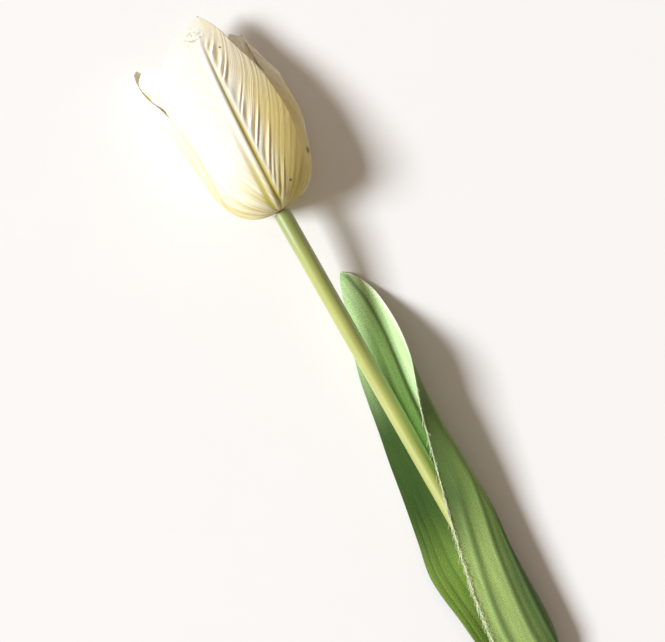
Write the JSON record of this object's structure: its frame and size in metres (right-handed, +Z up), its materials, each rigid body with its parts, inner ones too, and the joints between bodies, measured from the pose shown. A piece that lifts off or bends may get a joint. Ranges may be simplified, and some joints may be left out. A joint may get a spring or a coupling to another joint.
{
  "type": "artificial tulip",
  "caption": "Artificial tulip with a closed white cloth bloom on a green plastic stem and a long folded cloth leaf, lying on its side.",
  "frame": {"origin": "on the surface that the flower lies on, under the middle of its bounding box", "axes": "+Y along the stem towards the bloom, +X to the right seen from above, +Z up from the surface"},
  "size_m": [0.043, 0.3276, 0.0258],
  "materials": {
    "petal_cloth": "stiffened white cloth with pressed creases and a yellow tint at the claw and margins",
    "stem_plastic": "smooth moulded yellow-green",
    "leaf_cloth": "woven green cloth with pressed pleats and a frayed cut edge",
    "pistil_plastic": "moulded pale green",
    "stamen_plastic": "moulded ochre"
  },
  "bodies": {
    "root": {"stem": "stem_plastic", "petal_outer_top": "petal_cloth", "petal_outer_left": "petal_cloth", "petal_outer_right": "petal_cloth", "petal_inner_left": "petal_cloth", "petal_inner_right": "petal_cloth", "petal_inner_bottom": "petal_cloth", "pistil": "pistil_plastic", "stamens": "stamen_plastic", "leaf": "leaf_cloth"}
  },
  "joints": []
}
